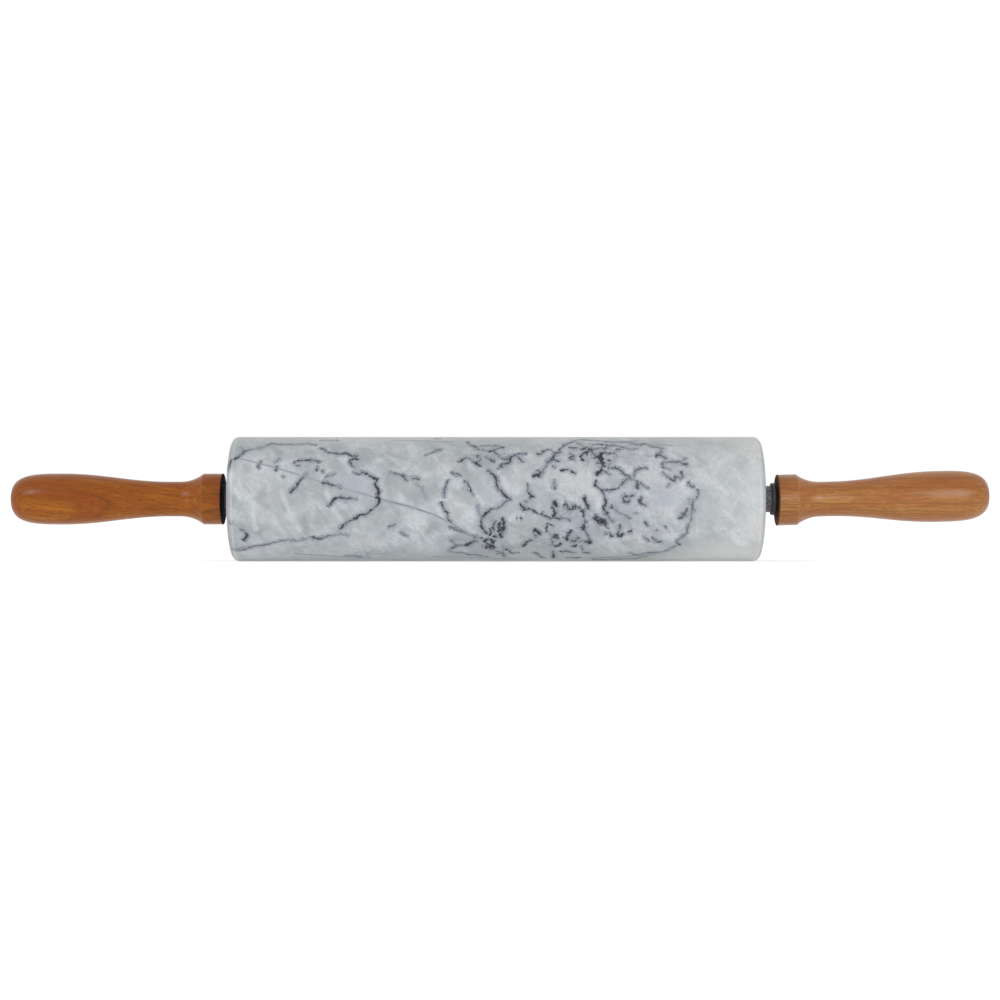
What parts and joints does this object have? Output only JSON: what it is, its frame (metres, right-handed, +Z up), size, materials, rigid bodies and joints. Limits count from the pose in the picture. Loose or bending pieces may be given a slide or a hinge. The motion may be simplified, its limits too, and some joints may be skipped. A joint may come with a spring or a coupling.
{
  "type": "marble rolling pin",
  "caption": "Rolling pin with a heavy marble barrel that turns and slides on a steel axle between two turned wooden handles.",
  "frame": {"origin": "centre of the barrel, on its axis", "axes": "+X along the axle to the right handle, +Z up"},
  "size_m": [0.4714, 0.06, 0.06],
  "materials": {
    "marble": "polished",
    "nylon": "moulded",
    "steel": "turned",
    "blackened_steel": "oil blackened",
    "brass": "turned",
    "left_wood": "satin lacquer",
    "right_wood": "satin lacquer"
  },
  "bodies": {
    "barrel": {"barrel": "marble"},
    "bearings": {"left_bearing": "nylon", "right_bearing": "nylon"},
    "axle": {"axle": "steel", "left_washer": "blackened_steel", "right_washer": "blackened_steel", "left_insert": "brass", "right_insert": "brass", "left_handle": "left_wood", "right_handle": "right_wood"}
  },
  "joints": [
    {"name": "end_float", "type": "slide", "parent": "barrel", "child": "bearings", "axis": [1, 0, 0], "range_m": [-0.0057, 0.0019]},
    {"name": "handle_spin", "type": "hinge", "parent": "bearings", "child": "axle", "pos_m": [0, 0, 0], "axis": [1, 0, 0], "continuous": true}
  ]
}
